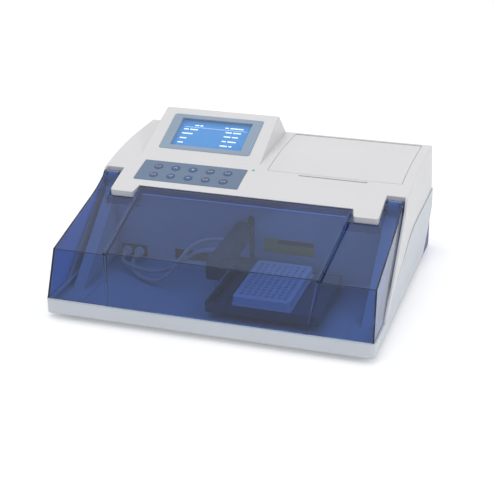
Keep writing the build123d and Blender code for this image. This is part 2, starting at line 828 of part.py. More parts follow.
# Plate carrier with its priming trough, plate pocket and guide channel
with BuildPart() as plate_carrier:
    with BuildSketch(Plane.XY.offset(carrier_bottom)):
        with Locations((carrier_x, carrier_mid_y)):
            RectangleRounded(carrier_width, carrier_length, carrier_corner)
    extrude(amount=carrier_height)
    with BuildSketch(Plane.XY.offset(carrier_bottom)):
        with Locations((plate_x, plate_y)):
            Rectangle(plate_width - 6, plate_length - 10)
    extrude(amount=carrier_height - plate_seat - carrier_web, mode=Mode.SUBTRACT)
    with BuildSketch(Plane.XY.offset(carrier_top)):
        with Locations((carrier_x, carrier_mid_y)):
            RectangleRounded(carrier_width - 2 * carrier_rim, carrier_length - 2 * carrier_rim,
                             carrier_corner)
    extrude(amount=-carrier_rim_rise, mode=Mode.SUBTRACT)
    with BuildSketch(Plane.XY.offset(carrier_top)):
        with Locations((trough_x, plate_y)):
            RectangleRounded(trough_width, trough_length, 3)
    extrude(amount=-trough_depth, mode=Mode.SUBTRACT)
    with BuildSketch(Plane.XY.offset(carrier_top)):
        with Locations((channel_x, carrier_mid_y)):
            Rectangle(channel_width, carrier_length + 1)
    extrude(amount=-channel_depth, mode=Mode.SUBTRACT)
    with BuildSketch(Plane.XY.offset(carrier_top)):
        with Locations((plate_x, plate_y)):
            RectangleRounded(plate_width + 2 * plate_play, plate_length + 2 * plate_play, plate_corner)
        with Locations((carrier_x + carrier_width / 2 - recess_from_right, carrier_mid_y)):
            Rectangle(recess_width, recess_length)
    extrude(amount=-plate_seat, mode=Mode.SUBTRACT)

with BuildPart() as microplate:
    with BuildSketch(Plane.XY.offset(plate_bottom)):
        with Locations((plate_x, plate_y)):
            RectangleRounded(plate_width, plate_length, plate_corner)
    extrude(amount=plate_skirt)
    with BuildSketch(Plane.XY.offset(plate_bottom + plate_skirt)):
        with Locations((plate_x, plate_y)):
            RectangleRounded(plate_width - 3, plate_length - 3, plate_corner)
    extrude(amount=plate_height - plate_skirt)
    with BuildSketch(Plane.XY.offset(plate_bottom)):
        with Locations((plate_x, plate_y)):
            Rectangle(plate_width - 5, plate_length - 5)
    extrude(amount=plate_height - well_depth - well_floor, mode=Mode.SUBTRACT)
    with BuildSketch(Plane.XY.offset(plate_top)):
        with Locations((plate_x, plate_y)):
            with GridLocations(well_pitch, well_pitch, 8, 12):
                RegularPolygon(well_radius, 8, rotation=22.5)
    extrude(amount=-well_depth, mode=Mode.SUBTRACT)

# Carriage drive behind the chamber wall: frame, guide rods, lead screw and motor
frame_left = drive_left - frame_sheet
with BuildPart() as carriage_frame:
    block(frame_left, drive_right + frame_sheet, drive_front, drive_rear, tray_floor,
          tray_floor + frame_sheet)
    for x in (frame_left, drive_right):
        block(x, x + frame_sheet, drive_front, drive_rear, tray_floor, drive_top)
    with Locations(*rod_places):
        Cylinder(rod_radius, 2 * width, rotation=along_x, mode=Mode.SUBTRACT)
    with Locations((0, screw_y, screw_z)):
        Cylinder(screw_radius + running_gap, 2 * width, rotation=along_x, mode=Mode.SUBTRACT)

with BuildPart() as carriage_rods:
    with Locations(*[(drive_x, y, z) for x, y, z in rod_places]):
        Cylinder(rod_radius, drive_right - drive_left + 2 * frame_sheet, rotation=along_x)

with BuildPart() as carriage_screw:
    with Locations((drive_x, screw_y, screw_z)):
        Cylinder(screw_radius, drive_right - drive_left + 2 * frame_sheet - 1, rotation=along_x)

with BuildPart() as carriage_motor:
    block(frame_left - motor_length, frame_left, screw_y - motor_width / 2, screw_y + motor_width / 2,
          screw_z - motor_width / 2, screw_z + motor_width / 2)
    chamfer(carriage_motor.edges().filter_by(Axis.X), 4)

with BuildPart() as carriage_slider:
    block(slider_x - slider_width / 2, slider_x + slider_width / 2, slider_front, slider_rear, slider_low,
          slider_high)
    block(slider_x - slider_width / 2, slider_x + slider_width / 2, carrier_front_y + carrier_length,
          slider_front,
          arm_low, arm_low + arm_height)
    with Locations(*rod_places):
        Cylinder(rod_radius + running_gap, width, rotation=along_x, mode=Mode.SUBTRACT)
    with Locations((0, screw_y, screw_z)):
        Cylinder(screw_radius + running_gap, width, rotation=along_x, mode=Mode.SUBTRACT)

# Lift behind the wall: frame, rods, screw and motor, with the block that carries the manifold
with BuildPart() as lift_frame:
    block(lift_x - shelf_width / 2, lift_x + shelf_width / 2, lift_back_y, lift_back_y + frame_sheet,
          tray_floor + frame_sheet, lift_top + shelf)
    for z in (lift_low, lift_top):
        block(lift_x - shelf_width / 2, lift_x + shelf_width / 2, lift_front_y, lift_back_y, z, z + shelf)
    with Locations((lift_x - lift_rod_spread, rod_y, 0), (lift_x + lift_rod_spread, rod_y, 0)):
        Cylinder(lift_rod, 2 * top_height, mode=Mode.SUBTRACT)
    with Locations((lift_x, lift_screw_y, 0)):
        Cylinder(lift_rod + running_gap, 2 * top_height, mode=Mode.SUBTRACT)

with BuildPart() as lift_rods:
    with Locations((lift_x - lift_rod_spread, rod_y, lift_low), (lift_x + lift_rod_spread, rod_y, lift_low)):
        Cylinder(lift_rod, lift_top + shelf - lift_low, align=base_end)

with BuildPart() as lift_screw:
    with Locations((lift_x, lift_screw_y, lift_low)):
        Cylinder(lift_rod, lift_top + shelf - lift_low - 0.5, align=base_end)

with BuildPart() as lift_motor:
    block(lift_x - 14, lift_x + 14, lift_front_y, lift_front_y + 28, lift_top + shelf,
          lift_top + shelf + lift_motor_height)
    chamfer(lift_motor.edges().filter_by(Axis.Z), 3)

with BuildPart() as lift_block:
    block(lift_x - lift_block_width / 2, lift_x + lift_block_width / 2, lift_front_y, lift_block_rear,
          lift_block_low, lift_block_low + lift_block_height)
    block(lift_slot_x - arm_thickness / 2, lift_slot_x + arm_thickness / 2, bracket_y, lift_front_y,
          lift_block_low, lift_block_low + lift_block_height)
    block(lift_slot_x - arm_thickness / 2 - 1, lift_slot_x + arm_thickness / 2, manifold_rear_y, bracket_y,
          lift_block_low, lift_slot_top)
    with Locations((lift_x - lift_rod_spread, rod_y, 0), (lift_x + lift_rod_spread, rod_y, 0),
                   (lift_x, lift_screw_y, 0)):
        Cylinder(lift_rod + running_gap, 2 * top_height, mode=Mode.SUBTRACT)

# Manifold: bar, paired needles and the two hose barbs on its left face
with BuildPart() as manifold_bar:
    with BuildSketch(Plane.XY.offset(manifold_low)):
        with Locations((manifold_x, (manifold_front_y + manifold_rear_y) / 2)):
            Rectangle(manifold_width, manifold_rear_y - manifold_front_y)
    extrude(amount=manifold_height)
    chamfer(manifold_bar.edges().filter_by(Axis.Z).sort_by(Axis.X)[-2:].sort_by(Axis.Y)[-1], 5)
    chamfer(manifold_bar.edges().filter_by(Axis.Y).group_by(Axis.Z)[-1], 1)
    with BuildSketch(Plane.YZ.offset(manifold_x + manifold_width / 2)):
        with Locations((manifold_front_y + 33, manifold_low + 17), (manifold_rear_y - 26, manifold_low + 16)):
            Circle(plug_radius)
    extrude(amount=-plug_depth, mode=Mode.SUBTRACT)
    with BuildSketch(Plane.XY.offset(manifold_low)):
        with Locations((needle_x, plate_y)):
            with GridLocations(needle_pair, well_pitch, 2, 12):
                RegularPolygon(needle_radius, 8)
    extrude(amount=needle_seat, mode=Mode.SUBTRACT)

with BuildPart() as needles:
    with BuildSketch(Plane.XY.offset(manifold_low - needle_length)):
        with Locations((needle_x, plate_y)):
            with GridLocations(needle_pair, well_pitch, 2, 12):
                RegularPolygon(needle_radius, 8)
    extrude(amount=needle_length + needle_seat)

with BuildPart() as manifold_fittings:
    for y, z in (wash_barb, suction_barb):
        with Locations((manifold_x - manifold_width / 2 - barb_length / 2, y, z)):
            Cylinder(tube_radius, barb_length, rotation=along_x)
        with Locations((manifold_x - manifold_width / 2 - 1, y, z)):
            Cylinder(tube_radius + 1.5, 2, rotation=along_x)

# Fittings on the chamber wall, and the two limp tubes that run from them to the manifold
with BuildPart() as fitting_plate:
    block(wash_port[0] - 10, suction_port[0] + 11, wall_y - frame_sheet, wall_y,
          port_height - fitting_radius - 0.4, port_height + fitting_radius + 2)

port_y = wall_y - frame_sheet
with BuildPart() as wall_fittings:
    for x, z in (wash_port, suction_port):
        with BuildSketch(Plane.XZ.offset(-port_y)):
            with Locations((x, z)):
                Circle(fitting_radius)
        extrude(amount=fitting_length)
    chamfer(wall_fittings.edges().group_by(Axis.Y)[0], 1)

def tube(points):
    """Tube along straight runs joined by tangent arcs."""
    points = [Vector(*point) for point in points]
    bends = []
    for before, here, after in zip(points, points[1:], points[2:]):
        half_turn = math.radians((here - before).get_angle(after - here)) / 2
        bends.append(0.45 * min((here - before).length, (after - here).length) / math.tan(half_turn))
    print("bend radii", [round(bend, 1) for bend in bends])
    with BuildPart() as hose:
        with BuildLine() as path:
            FilletPolyline(*points, radius=bends)
        with BuildSketch(Plane(origin=points[0], z_dir=points[1] - points[0])):
            Circle(tube_radius)
        sweep()
    print("volume", round(hose.part.volume), "section by length",
          round(math.pi * tube_radius**2 * path.wire().length))
    return hose


barb_x = manifold_x - manifold_width / 2 - barb_length
tube_y = port_y - fitting_length


def limp(port, barb, places):
    """Tube from a port to a barb, over places given as the share of the way across, the distance before
    the wall and the height above the floor."""
    across = barb_x - port[0]
    middle = [(port[0] + share * across, wall_y - before, floor_height + rise) for share, before,
              rise in places]
    return tube([(port[0], tube_y, port[1])] + middle + [(barb_x, barb[0], barb[1])])


wash_tube = limp(wash_port, wash_barb, [(0, 36, 13), (0.167, 54, 13), (0.354, 62, 12), (0.517, 62, 18),
                                        (0.691, 62, 41),
                                        (0.849, 62, wash_barb[1] - floor_height)])
suction_tube = limp(suction_port, suction_barb, [(0, 34, 13), (0.098, 60, 4), (0.335, 80, 4.5),
                                                 (0.499, 82, 16),
                                                 (0.611, 78, 42), (0.710, 62, 62),
                                                 (0.842, 39, suction_barb[1] - floor_height)])

# Valves, pumps, supply and board in the rear of the housing
with BuildPart() as valve_block:
    valve_y = liner_rear_y + wall + valve_radius + 1.5
    valve_base = port_height + 2 * valve_radius - 1
    block(wash_port[0] - 2 * valve_radius - 2, suction_port[0] + 2 * valve_radius - 2, liner_rear_y + wall,
          valve_y + valve_radius + 1.5, tray_floor, valve_base)
    with Locations((wash_port[0] - 2, valve_y, valve_base), (suction_port[0] - 2, valve_y, valve_base)):
        Cylinder(valve_radius, valve_height, align=base_end)

pumps = []
for label, x, radius, height in (("wash_pump", wash_pump_x, 20, 52), ("vacuum_pump", vacuum_pump_x, 26, 60)):
    with BuildPart() as pump:
        with Locations((x, pump_y, tray_floor)):
            Cylinder(radius, height, align=base_end)
        with Locations((x, pump_y, tray_floor + height)):
            Cylinder(radius - 6, 14, align=base_end)
    pumps.append((pump, label))

with BuildPart() as power_supply:
    block(supply_x - supply_width / 2, supply_x + supply_width / 2, supply_y - supply_length / 2,
          supply_y + supply_length / 2, tray_floor, tray_floor + supply_height)
    with BuildSketch(Plane.XY.offset(tray_floor + supply_height)):
        with Locations((supply_x, supply_y)):
            with GridLocations(0.18 * supply_width, 0, 5, 1):
                SlotOverall(0.6 * supply_length, 0.06 * supply_width, rotation=90)
    extrude(amount=-frame_sheet, mode=Mode.SUBTRACT)

board_z = tray_floor + board_standoff
with BuildPart() as main_board:
    block(board_x - board_width / 2, board_x + board_width / 2, supply_y - board_length / 2,
          supply_y + board_length / 2, board_z, board_z + board_thickness)
    with Locations((board_x, supply_y, tray_floor)):
        with GridLocations(0.84 * board_width, 0.82 * board_length, 2, 2):
            Cylinder(board_post, board_standoff, align=base_end)
    chip_base = board_z + board_thickness
    block(board_x - 0.2 * board_width, board_x + 0.11 * board_width, supply_y - 0.13 * board_length,
          supply_y + 0.24 * board_length, chip_base, chip_base + 4)
    block(board_x + 0.24 * board_width, board_x + 0.38 * board_width, supply_y - 0.4 * board_length,
          supply_y + 0.4 * board_length, chip_base, chip_base + 9)

# Paper cover with its barrel hinge, the bay under it, the roll and the printer
with BuildPart() as paper_cover:
    with BuildSketch(Plane.XY.offset(bay_floor)):
        with Locations((panel_x, (panel_front_y + barrel_y) / 2)):
            Rectangle(panel_width, barrel_y - panel_front_y)
    extrude(amount=top_height)
    extrude(under_crown(0, front_y, rear_y, -5), amount=half_w, both=True, mode=Mode.INTERSECT)
    extrude(under_crown(panel_thickness, front_y, rear_y + 5, -5), amount=half_w, both=True,
            mode=Mode.SUBTRACT)
    with Locations((panel_x, barrel_y, barrel_z)):
        Cylinder(barrel_radius, panel_width, rotation=along_x)
        Cylinder(hinge_stub, panel_width + 2 * (panel_gap + bay_sheet) - 1, rotation=along_x)

bay_left = panel_x - panel_width / 2 - panel_gap - bay_sheet
bay_right = panel_x + panel_width / 2 + panel_gap + bay_sheet
with BuildPart() as paper_bay:
    with BuildSketch(Plane.YZ.offset(bay_left)):
        with BuildLine():
            pan_y = rear_y - wall - panel_recess - panel_sheet - 2
            Polyline((bay_front, top_height), (bay_front, bay_floor), (pan_y, bay_floor),
                     (pan_y, connector_high + 6),
                     (rear_y - wall - clear, connector_high + 6), (rear_y - wall - clear, top_height),
                     close=True)
        make_face()
    extrude(amount=bay_right - bay_left)
    with BuildSketch(Plane.YZ.offset(bay_left + bay_sheet)):
        with BuildLine():
            Polyline((bay_front + 2, top_height + 5), (bay_front + 2, bay_floor + 2),
                     (pan_y - 2, bay_floor + 2),
                     (pan_y - 2, connector_high + 8), (rear_y - wall + 5, connector_high + 8),
                     (rear_y - wall + 5, top_height + 5), close=True)
        make_face()
    extrude(amount=bay_right - bay_left - 2 * bay_sheet, mode=Mode.SUBTRACT)
    extrude(under_crown(wall, front_y, rear_y, -5), amount=half_w, both=True, mode=Mode.INTERSECT)
    extrude(leaning_front(wall + clear, rear_y), amount=depth, mode=Mode.INTERSECT)
    for x in (panel_x - roll_width / 2 - 4, panel_x + roll_width / 2 + 2):
        block(x, x + 2, roll_y - 28, roll_y + 28, bay_floor + 2, roll_z + 12)
    with Locations((panel_x, roll_y, roll_z)):
        Cylinder(spindle_radius, roll_width + 8.2, rotation=along_x, mode=Mode.SUBTRACT)
        Box(roll_width + 8.2, 2 * spindle_radius, 20, align=base_end, mode=Mode.SUBTRACT)
    with Locations((panel_x, barrel_y, barrel_z)):
        Cylinder(hinge_stub + running_gap, panel_width + 20, rotation=along_x, mode=Mode.SUBTRACT)

with BuildPart() as paper_spindle:
    with Locations((panel_x, roll_y, roll_z)):
        Cylinder(spindle_radius, roll_width + 12, rotation=along_x)

with BuildPart() as paper_roll:
    with Locations((panel_x, roll_y, roll_z)):
        Cylinder(roll_radius, roll_width, rotation=along_x)
        Cylinder(spindle_radius + running_gap, roll_width, rotation=along_x, mode=Mode.SUBTRACT)

with BuildPart() as printer_frame:
    for x in (panel_x - roll_width / 2 - 4, panel_x + roll_width / 2 + 1):
        block(x, x + 3, printer_front, platen_y + 10, bay_floor + 2, platen_z + 10)
    block(panel_x - roll_width / 2 - 1, panel_x + roll_width / 2 + 1, printer_front, printer_front + 3,
          bay_floor + 2, platen_z + 8)
    with Locations((panel_x, platen_y, platen_z)):
        Cylinder(2 + running_gap, roll_width + 20, rotation=along_x, mode=Mode.SUBTRACT)

with BuildPart() as platen_roller:
    with Locations((panel_x, platen_y, platen_z)):
        Cylinder(platen_radius, roll_width, rotation=along_x)
        Cylinder(2, roll_width + 7, rotation=along_x)

# Connector panel sunk into the rear, with its fittings
pan_back = rear_y - wall
with BuildPart() as rear_panel:
    block(-connector_half - 6, connector_half + 6, pan_back - panel_sheet, pan_back, connector_low - 5,
          connector_high + 4)
    block(-connector_half, connector_half, pan_back - panel_recess, pan_back, connector_low, connector_high)
    block(-connector_half + panel_sheet, connector_half - panel_sheet,
          pan_back - panel_recess + panel_sheet, rear_y,
          connector_low + panel_sheet, connector_high - panel_sheet, mode=Mode.SUBTRACT)
    with BuildSketch(Plane.XZ.offset(-pan_back)):
        with Locations((inlet_x, ports_z)):
            Rectangle(inlet_width, inlet_height)
        with Locations((switch_x, ports_z)):
            Rectangle(switch_width, switch_height)
        with Locations((serial_x, ports_z)):
            Rectangle(serial_width, serial_height)
        with Locations(*[(x, ports_z) for x in hose_places]):
            Circle(hose_radius)
        with Locations((hose_first + 1.5 * hose_pitch, connector_high - 14)):
            with GridLocations(14, 0, 6, 1):
                SlotOverall(16, 3, rotation=90)
    extrude(amount=2 * panel_recess, mode=Mode.SUBTRACT)

panel_face = pan_back - panel_recess + panel_sheet
with BuildPart() as hose_ports:
    for x in hose_places:
        with Locations((x, panel_face - panel_sheet - 4, ports_z)):
            Cylinder(hose_radius, panel_sheet + 4, rotation=toward_rear, align=base_end)
        with Locations((x, panel_face, ports_z)):
            Cylinder(hose_radius + 2, 3, rotation=toward_rear, align=base_end)
        with Locations((x, panel_face + 3, ports_z)):
            Cylinder(barb_radius, barb_reach, rotation=toward_rear, align=base_end)

with BuildPart() as power_inlet:
    block(inlet_x - inlet_width / 2, inlet_x + inlet_width / 2, panel_face - 16, panel_face,
          ports_z - inlet_height / 2, ports_z + inlet_height / 2)
    block(inlet_x - inlet_width / 2 - 4, inlet_x + inlet_width / 2 + 4, panel_face, panel_face + 2,
          ports_z - inlet_height / 2 - 1.5, ports_z + inlet_height / 2 + 1.5)
    block(inlet_x - 12, inlet_x + 12, panel_face - 13, panel_face + 3, ports_z - 8, ports_z + 8,
          mode=Mode.SUBTRACT)
    for x, z in ((-6, -2), (6, -2), (0, 3)):
        block(inlet_x + x - 1, inlet_x + x + 1, panel_face - 13, panel_face - 3, ports_z + z - 2,
              ports_z + z + 2)

with BuildPart() as switch_body:
    block(switch_x - switch_width / 2, switch_x + switch_width / 2, panel_face - 14, panel_face,
          ports_z - switch_height / 2, ports_z + switch_height / 2)
    block(switch_x - switch_width / 2 - 1.5, switch_x + switch_width / 2 + 1.5, panel_face, panel_face + 1.5,
          ports_z - switch_height / 2 - 1.5, ports_z + switch_height / 2 + 1.5)
    block(switch_x - 6.5, switch_x + 6.5, panel_face - 9, panel_face + 3, ports_z - switch_height / 2 + 0.5,
          ports_z + switch_height / 2 - 0.5,
          mode=Mode.SUBTRACT)
    with Locations((switch_x, panel_face - 3, ports_z)):
        Cylinder(1, 15, rotation=along_x)

with BuildPart() as power_rocker:
    with BuildSketch(Plane.YZ.offset(switch_x - 6.2)):
        with BuildLine():
            axle = Vector(panel_face - 3, ports_z)
            top = axle + Vector(3.4, rocker_half).rotate(Axis.Z, -rocker_swing / 2)
            middle = axle + Vector(4.2, 0).rotate(Axis.Z, -rocker_swing / 2)
            bottom = axle + Vector(3.4, -rocker_half).rotate(Axis.Z, -rocker_swing / 2)
            Polyline(top, middle, bottom, axle + Vector(-2.2, -3), axle + Vector(-2.2, 3), close=True)
        make_face()
        with Locations((panel_face - 3, ports_z)):
            Circle(1 + running_gap, mode=Mode.SUBTRACT)
    extrude(amount=12.4)

with BuildPart() as serial_port:
    block(serial_x - serial_width / 2, serial_x + serial_width / 2, panel_face - 8, panel_face,
          ports_z - serial_height / 2, ports_z + serial_height / 2)
    block(serial_x - 8.5, serial_x + 8.5, panel_face, panel_face + 5.5, ports_z - 4.2, ports_z + 4.2)
    block(serial_x - 7.7, serial_x + 7.7, panel_face + 0.5, panel_face + 6, ports_z - 3.4, ports_z + 3.4,
          mode=Mode.SUBTRACT)

pieces = [(base_tray, "base_tray"), (top_cover, "top_cover"), (chamber_liner, "chamber_liner"), (lid, "lid"),
          (front_feet, "front_feet"), (rear_feet, "rear_feet"), (housing_screws, "housing_screws"),
          (display_bezel, "display_bezel"), (display_window, "display_window"),
          (display_panel, "display_panel"),
          (keypad_overlay, "keypad_overlay"), (keypad_board, "keypad_board"), (status_light, "status_light"),
          (lid_pins, "lid_pins"), (plate_carrier, "plate_carrier"), (microplate, "microplate"),
          (carriage_frame, "carriage_frame"), (carriage_rods, "carriage_rods"),
          (carriage_screw, "carriage_screw"),
          (carriage_motor, "carriage_motor"), (carriage_slider, "carriage_slider"),
          (lift_frame, "lift_frame"), (lift_rods, "lift_rods"), (lift_screw, "lift_screw"),
          (lift_motor, "lift_motor"), (lift_block, "lift_block"),
          (manifold_bar, "manifold_bar"), (needles, "needles"), (manifold_fittings, "manifold_fittings"),
          (fitting_plate, "fitting_plate"), (wall_fittings, "wall_fittings"), (wash_tube, "wash_tube"),
          (suction_tube, "suction_tube"), (valve_block, "valve_block"), (power_supply, "power_supply"),
          (main_board, "main_board"), (paper_cover, "paper_cover"), (paper_bay, "paper_bay"),
          (paper_spindle, "paper_spindle"), (paper_roll, "paper_roll"), (printer_frame, "printer_frame"),
          (platen_roller, "platen_roller"), (rear_panel, "rear_panel"), (hose_ports, "hose_ports"),
          (power_inlet, "power_inlet"), (switch_body, "switch_body"), (power_rocker, "power_rocker"),
          (serial_port, "serial_port")]
for builder, label in pieces + keys + pumps:
    write(builder, label)
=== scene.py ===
import math

import bmesh
import bpy
from mathutils import Matrix, Vector


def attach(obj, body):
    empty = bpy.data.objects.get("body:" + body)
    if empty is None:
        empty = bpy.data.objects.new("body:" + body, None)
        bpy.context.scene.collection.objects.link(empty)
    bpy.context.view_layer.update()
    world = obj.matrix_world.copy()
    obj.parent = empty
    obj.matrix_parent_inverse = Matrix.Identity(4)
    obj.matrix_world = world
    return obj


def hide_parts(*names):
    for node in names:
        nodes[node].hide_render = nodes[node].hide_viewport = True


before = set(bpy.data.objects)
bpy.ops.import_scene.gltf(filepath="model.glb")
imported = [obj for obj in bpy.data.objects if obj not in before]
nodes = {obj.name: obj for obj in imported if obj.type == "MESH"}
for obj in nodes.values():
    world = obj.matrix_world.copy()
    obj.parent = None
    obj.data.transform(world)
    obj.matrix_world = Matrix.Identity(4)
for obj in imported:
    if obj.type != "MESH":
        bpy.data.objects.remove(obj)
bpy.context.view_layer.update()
MM = 0.001


# Camera
CAMERA_PLACE = (0.52098, -1.62331, 0.80580)
CAMERA_AZIMUTH = 17.92
CAMERA_ELEVATION = 23.84
CAMERA_ROLL = -0.45
CAMERA_LENS = 89.96
CAMERA_SENSOR = 36


def aim_camera():
    azimuth = math.radians(CAMERA_AZIMUTH)
    elevation = math.radians(CAMERA_ELEVATION)
    roll = math.radians(CAMERA_ROLL)
    back = Vector((math.sin(azimuth) * math.cos(elevation), -math.cos(azimuth) * math.cos(elevation),
                   math.sin(elevation)))
    right = Vector((math.cos(azimuth), math.sin(azimuth), 0))
    up = back.cross(right)
    turned = math.cos(roll) * right + math.sin(roll) * up
    upright = -math.sin(roll) * right + math.cos(roll) * up
    data = bpy.data.cameras.new("camera")
    data.lens = CAMERA_LENS
    data.sensor_width = CAMERA_SENSOR
    data.clip_start = 0.05
    data.clip_end = 60
    camera = bpy.data.objects.new("camera", data)
    turn = Matrix((turned, upright, back)).transposed().to_4x4()
    camera.matrix_world = Matrix.Translation(CAMERA_PLACE) @ turn
    bpy.context.collection.objects.link(camera)
    bpy.context.scene.camera = camera


aim_camera()


# Materials
MIX_FIRST = 6
MIX_SECOND = 7
MIX_RESULT = 2


def srgb(r, g, b):
    return tuple(((c / 255) / 12.92 if c / 255 <= 0.04045 else ((c / 255 + 0.055) / 1.055) ** 2.4)
                 for c in (r, g, b)) + (1,)


def shade(colour, factor):
    return tuple(min(1.0, c * factor) for c in colour[:3]) + (1,)


class Finish:
    """One surface, built up from noise, ranges and mixed colours."""

    def __init__(self, name):
        self.mat = bpy.data.materials.new(name)
        self.mat.use_nodes = True
        self.nodes = self.mat.node_tree.nodes
        self.links = self.mat.node_tree.links
        self.shader = self.nodes["Principled BSDF"]
        self.place = self.add("ShaderNodeTexCoord").outputs["Object"]

    def add(self, kind, **settings):
        node = self.nodes.new(kind)
        for key, value in settings.items():
            setattr(node, key, value)
        return node

    def noise(self, scale, detail=3.0, stretch=None):
        node = self.add("ShaderNodeTexNoise")
        node.inputs["Scale"].default_value = scale
        node.inputs["Detail"].default_value = detail
        if stretch:
            mapping = self.add("ShaderNodeMapping")
            mapping.inputs["Scale"].default_value = stretch
            self.links.new(self.place, mapping.inputs["Vector"])
            self.links.new(mapping.outputs[0], node.inputs["Vector"])
        else:
            self.links.new(self.place, node.inputs["Vector"])
        return node.outputs["Fac"]

    def ramp(self, value, low, high, start=0.3, stop=0.7):
        node = self.add("ShaderNodeMapRange")
        node.inputs["From Min"].default_value = start
        node.inputs["From Max"].default_value = stop
        node.inputs["To Min"].default_value = low
        node.inputs["To Max"].default_value = high
        self.links.new(value, node.inputs["Value"])
        return node.outputs[0]

    def mix(self, value, first, second):
        node = self.add("ShaderNodeMix", data_type="RGBA")
        self.links.new(value, node.inputs["Factor"])
        for socket, colour in ((node.inputs[MIX_FIRST], first), (node.inputs[MIX_SECOND], second)):
            if isinstance(colour, tuple):
                socket.default_value = colour
            else:
                self.links.new(colour, socket)
        return node.outputs[MIX_RESULT]

    def bump(self, height, strength, distance, rounding=0.0):
        node = self.add("ShaderNodeBump")
        node.inputs["Strength"].default_value = strength
        node.inputs["Distance"].default_value = distance
        self.links.new(height, node.inputs["Height"])
        if rounding:
            edge = self.add("ShaderNodeBevel", samples=4)
            edge.inputs["Radius"].default_value = rounding
            self.links.new(edge.outputs[0], node.inputs["Normal"])
        self.links.new(node.outputs[0], self.shader.inputs["Normal"])

    def colour(self, output):
        self.links.new(output, self.shader.inputs["Base Color"])

    def rough(self, output):
        self.links.new(output, self.shader.inputs["Roughness"])

    def set(self, **values):
        for key, value in values.items():
            self.shader.inputs[key.replace("_", " ")].default_value = value


def moulded(name, rgb, rough=(0.38, 0.5), spark=0.05, rounding=0.0008, spread=0.04, corner_shade=0.0):
    """Moulded plastic: faint colour drift, fine spark texture, softened edges and painted shade that greys
    the corners.
    """
    f = Finish(name)
    base = srgb(*rgb)
    drift = f.ramp(f.noise(9.0, 4.0), 0.0, 1.0)
    tone = f.mix(drift, shade(base, 1 - spread), shade(base, 1 + spread))
    # Painted shade: ambient occlusion mixes a darker copy of the colour into corners and crevices.
    if corner_shade:
        corner = f.add("ShaderNodeAmbientOcclusion", samples=4)
        corner.inputs["Distance"].default_value = 0.012
        shadowed = f.ramp(corner.outputs["AO"], corner_shade, 0.0, start=0.35, stop=0.95)
        tone = f.mix(shadowed, tone, shade(base, 0.55))
    f.colour(tone)
    f.rough(f.ramp(f.noise(60.0, 2.0), *rough))
    f.bump(f.noise(1800.0, 2.0), spark, 0.0002, rounding)
    return f.mat


def metal(name, rgb, rough, stretch, rounding=0.0004):
    """Bare metal with its grain drawn along the axis that stretch scales down."""
    f = Finish(name)
    base = srgb(*rgb)
    grain = f.noise(700.0, 4.0, stretch)
    f.colour(f.mix(f.ramp(grain, 0.0, 1.0), shade(base, 0.9), shade(base, 1.08)))
    f.rough(f.ramp(grain, *rough))
    f.bump(grain, 0.06, 0.0001, rounding)
    f.set(Metallic=1.0)
    return f.mat


def tinted_lid():
    """Blue acrylic, clear and tinted all through, that lets the light of the lamps into the chamber."""
    f = Finish("lid_acrylic")
    base = srgb(98, 132, 190)
    flow = f.ramp(f.noise(5.0, 2.0, (0.5, 1.0, 3.0)), 0.0, 1.0)
    f.colour(f.mix(flow, shade(base, 0.96), shade(base, 1.04)))
    ray = f.add("ShaderNodeLightPath").outputs["Is Shadow Ray"]
    f.links.new(f.ramp(ray, 1.0, 0.05, start=0.0, stop=1.0), f.shader.inputs["Alpha"])
    f.rough(f.ramp(f.noise(30.0, 2.0), 0.015, 0.03))
    f.bump(f.noise(6.0, 0.0), 0.01, 0.001, 0.0012)
    f.set(IOR=1.49, Transmission_Weight=1.0, Specular_IOR_Level=0.1)
    return f.mat


def clear(name, rgb, low, high, rough=0.08):
    """See-through glazing or rubber: low is how solid it looks face on, and high at grazing angles."""
    f = Finish(name)
    base = srgb(*rgb)
    f.colour(f.mix(f.ramp(f.noise(40.0), 0.0, 1.0), shade(base, 0.95), base))
    graze = f.add("ShaderNodeLayerWeight")
    graze.inputs["Blend"].default_value = 0.4
    f.links.new(f.ramp(graze.outputs["Facing"], low, high, start=0.0, stop=0.9), f.shader.inputs["Alpha"])
    f.rough(f.ramp(f.noise(25.0), rough, rough + 0.05))
    f.bump(f.noise(90.0), 0.02, 0.0003)
    return f.mat


def lit(name, rgb, strength):
    """A lit surface with faint unevenness of the light behind it."""
    f = Finish(name)
    base = srgb(*rgb)
    tone = f.mix(f.ramp(f.noise(300.0, 2.0), 0.0, 1.0), shade(base, 0.94), shade(base, 1.05))
    f.colour(tone)
    f.links.new(tone, f.shader.inputs["Emission Color"])
    f.set(Emission_Strength=strength, Roughness=0.35)
    return f.mat
